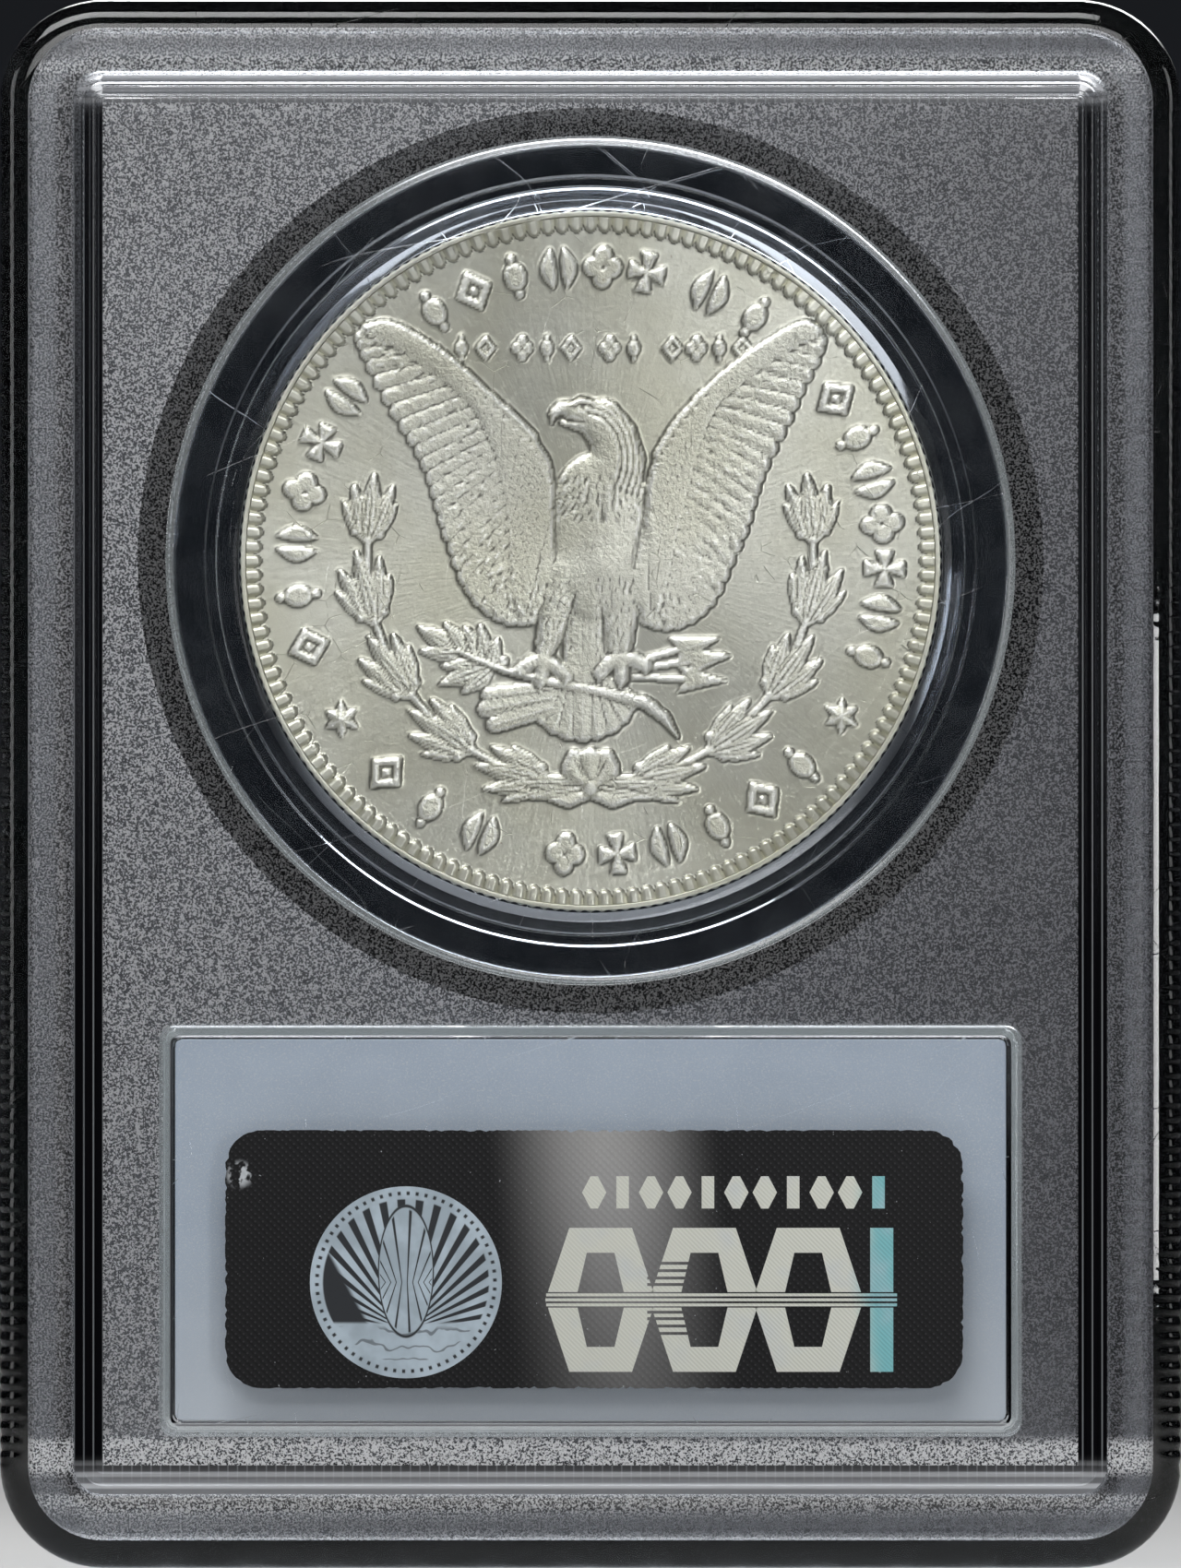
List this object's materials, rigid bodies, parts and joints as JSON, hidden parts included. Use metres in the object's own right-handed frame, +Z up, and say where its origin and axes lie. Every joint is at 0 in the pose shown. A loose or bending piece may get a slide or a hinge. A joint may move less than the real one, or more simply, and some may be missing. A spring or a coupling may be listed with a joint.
{
  "type": "graded coin slab",
  "caption": "Sealed clear rectangular holder for one large silver coin, with a soft coin ring, a printed card and a foil seal on the back.",
  "frame": {"origin": "middle of the lower short edge (the label end), at the parting plane of the two halves", "axes": "+Z up the slab to the coin end, +Y through its thickness towards the coin's front, -Y towards the back with the foil seal, +X to the right when the back is looked at"},
  "size_m": [0.064, 0.008, 0.085],
  "materials": {
    "back_shell": "clear, polished windows and steps, frosted frame and field",
    "front_shell": "clear, polished windows and steps, frosted frame and field",
    "weld": "clear, slightly hazy",
    "ring": "clear soft plastic",
    "coin": "frosty struck silver",
    "card": "matt coated card",
    "foil": "dark embossed foil"
  },
  "bodies": {
    "holder": {"back_shell": "back_shell", "front_shell": "front_shell", "weld_bead": "weld", "coin_ring": "ring", "label_card": "card", "foil_seal": "foil"},
    "coin": {"coin": "coin"}
  },
  "joints": [
    {"name": "coin_turn", "type": "hinge", "parent": "holder", "child": "coin", "pos_m": [0, 0, 0.0546], "axis": [0, 1, 0], "continuous": true}
  ]
}
